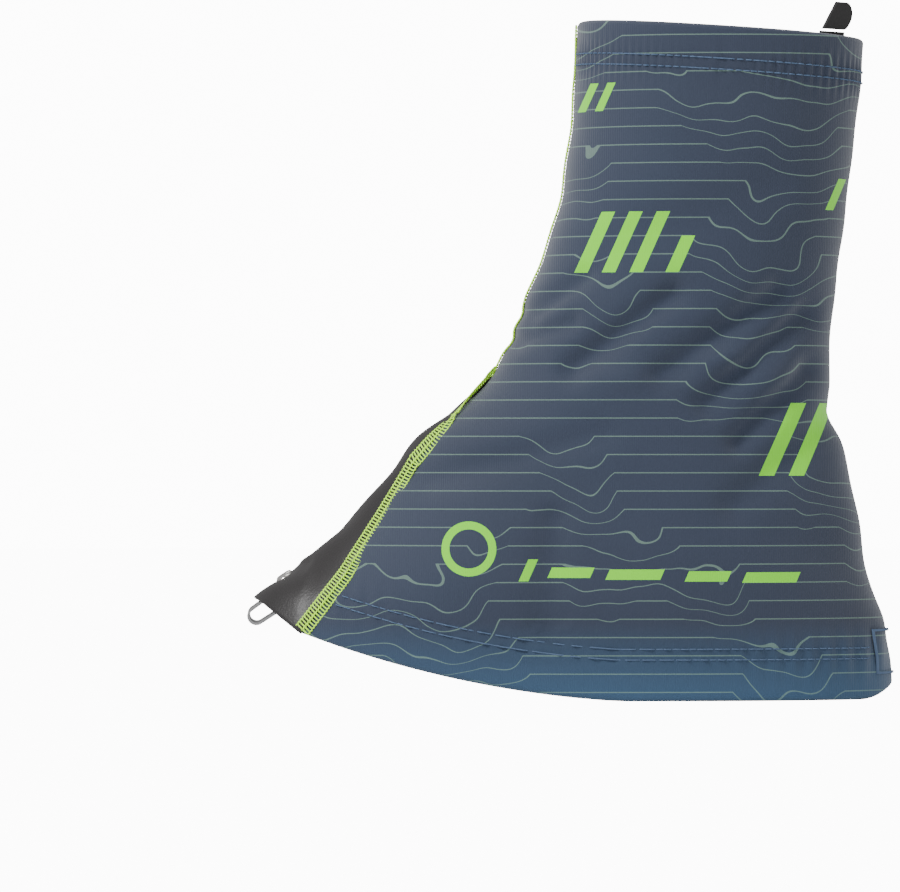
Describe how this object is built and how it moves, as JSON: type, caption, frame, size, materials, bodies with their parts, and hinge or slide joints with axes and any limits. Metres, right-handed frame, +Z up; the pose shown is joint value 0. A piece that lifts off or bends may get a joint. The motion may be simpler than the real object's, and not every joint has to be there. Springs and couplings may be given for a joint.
{
  "type": "gaiter",
  "caption": "Left trail-running gaiter: a stretch-knit sleeve over ankle and shoe top, with a front panel, lace hook, heel tape and pull tab.",
  "frame": {"origin": "on the surface that the lower hem stands on, below the middle of the bounding box", "axes": "+Z up the leg, -X towards the toe, -Y towards the wearer's outer side"},
  "size_m": [0.2155, 0.0992, 0.2307],
  "materials": {
    "printed_knit": "matt printed stretch knit",
    "elastic": "woven elastic tape",
    "panel_sheet": "matt coated fabric with a raw cut edge",
    "seam_thread": "bright overlock thread",
    "stitch_thread": "fine dull thread",
    "black_webbing": "fine ribbed webbing",
    "black_tape": "hook and loop tape",
    "adhesive": "clear pressure-sensitive film",
    "nickel": "polished nickel plate",
    "hook_steel": "tumbled steel"
  },
  "bodies": {
    "foot": {"foot_skirt": "printed_knit", "hem_fold": "printed_knit", "hem_elastic": "elastic", "hem_lower_stitch": "stitch_thread", "hem_upper_stitch": "stitch_thread", "hem_cover_thread": "stitch_thread", "front_panel": "panel_sheet", "outer_side_seam": "seam_thread", "inner_side_seam": "seam_thread", "heel_loop_patch": "black_tape", "heel_box_stitch": "stitch_thread"},
    "leg": {"leg_sleeve": "printed_knit", "cuff_hem_fold": "printed_knit", "cuff_elastic": "elastic", "cuff_upper_stitch": "stitch_thread", "cuff_lower_stitch": "stitch_thread", "cuff_cover_thread": "stitch_thread", "shin_seam": "seam_thread", "pull_tab_root": "black_webbing", "pull_tab_bartack": "stitch_thread"},
    "tab": {"pull_tab": "black_webbing"},
    "tip": {"front_tip": "panel_sheet", "tip_backing": "black_webbing", "lace_hook": "hook_steel", "rivets": "nickel", "rivet_washers": "hook_steel"},
    "shoe_patch": {"shoe_hook_patch": "black_tape", "shoe_patch_adhesive": "adhesive"}
  },
  "joints": [
    {"name": "ankle_flex", "type": "hinge", "parent": "foot", "child": "leg", "pos_m": [0.021, 0, 0.0305], "axis": [0, 1, 0], "range_deg": [-12, 20]},
    {"name": "tip_lift", "type": "hinge", "parent": "foot", "child": "tip", "pos_m": [-0.0865, 0, 0.0475], "axis": [0, 1, 0], "range_deg": [0, 38]},
    {"name": "tab_fold", "type": "hinge", "parent": "leg", "child": "tab", "pos_m": [0.08721, -0.02347, 0.22149], "axis": [0.6088, 0.7934, 0], "range_deg": [-70, 70]},
    {"name": "tape_peel", "type": "slide", "parent": "foot", "child": "shoe_patch", "axis": [-1, 0, 0], "range_m": [0, 0.03]}
  ]
}
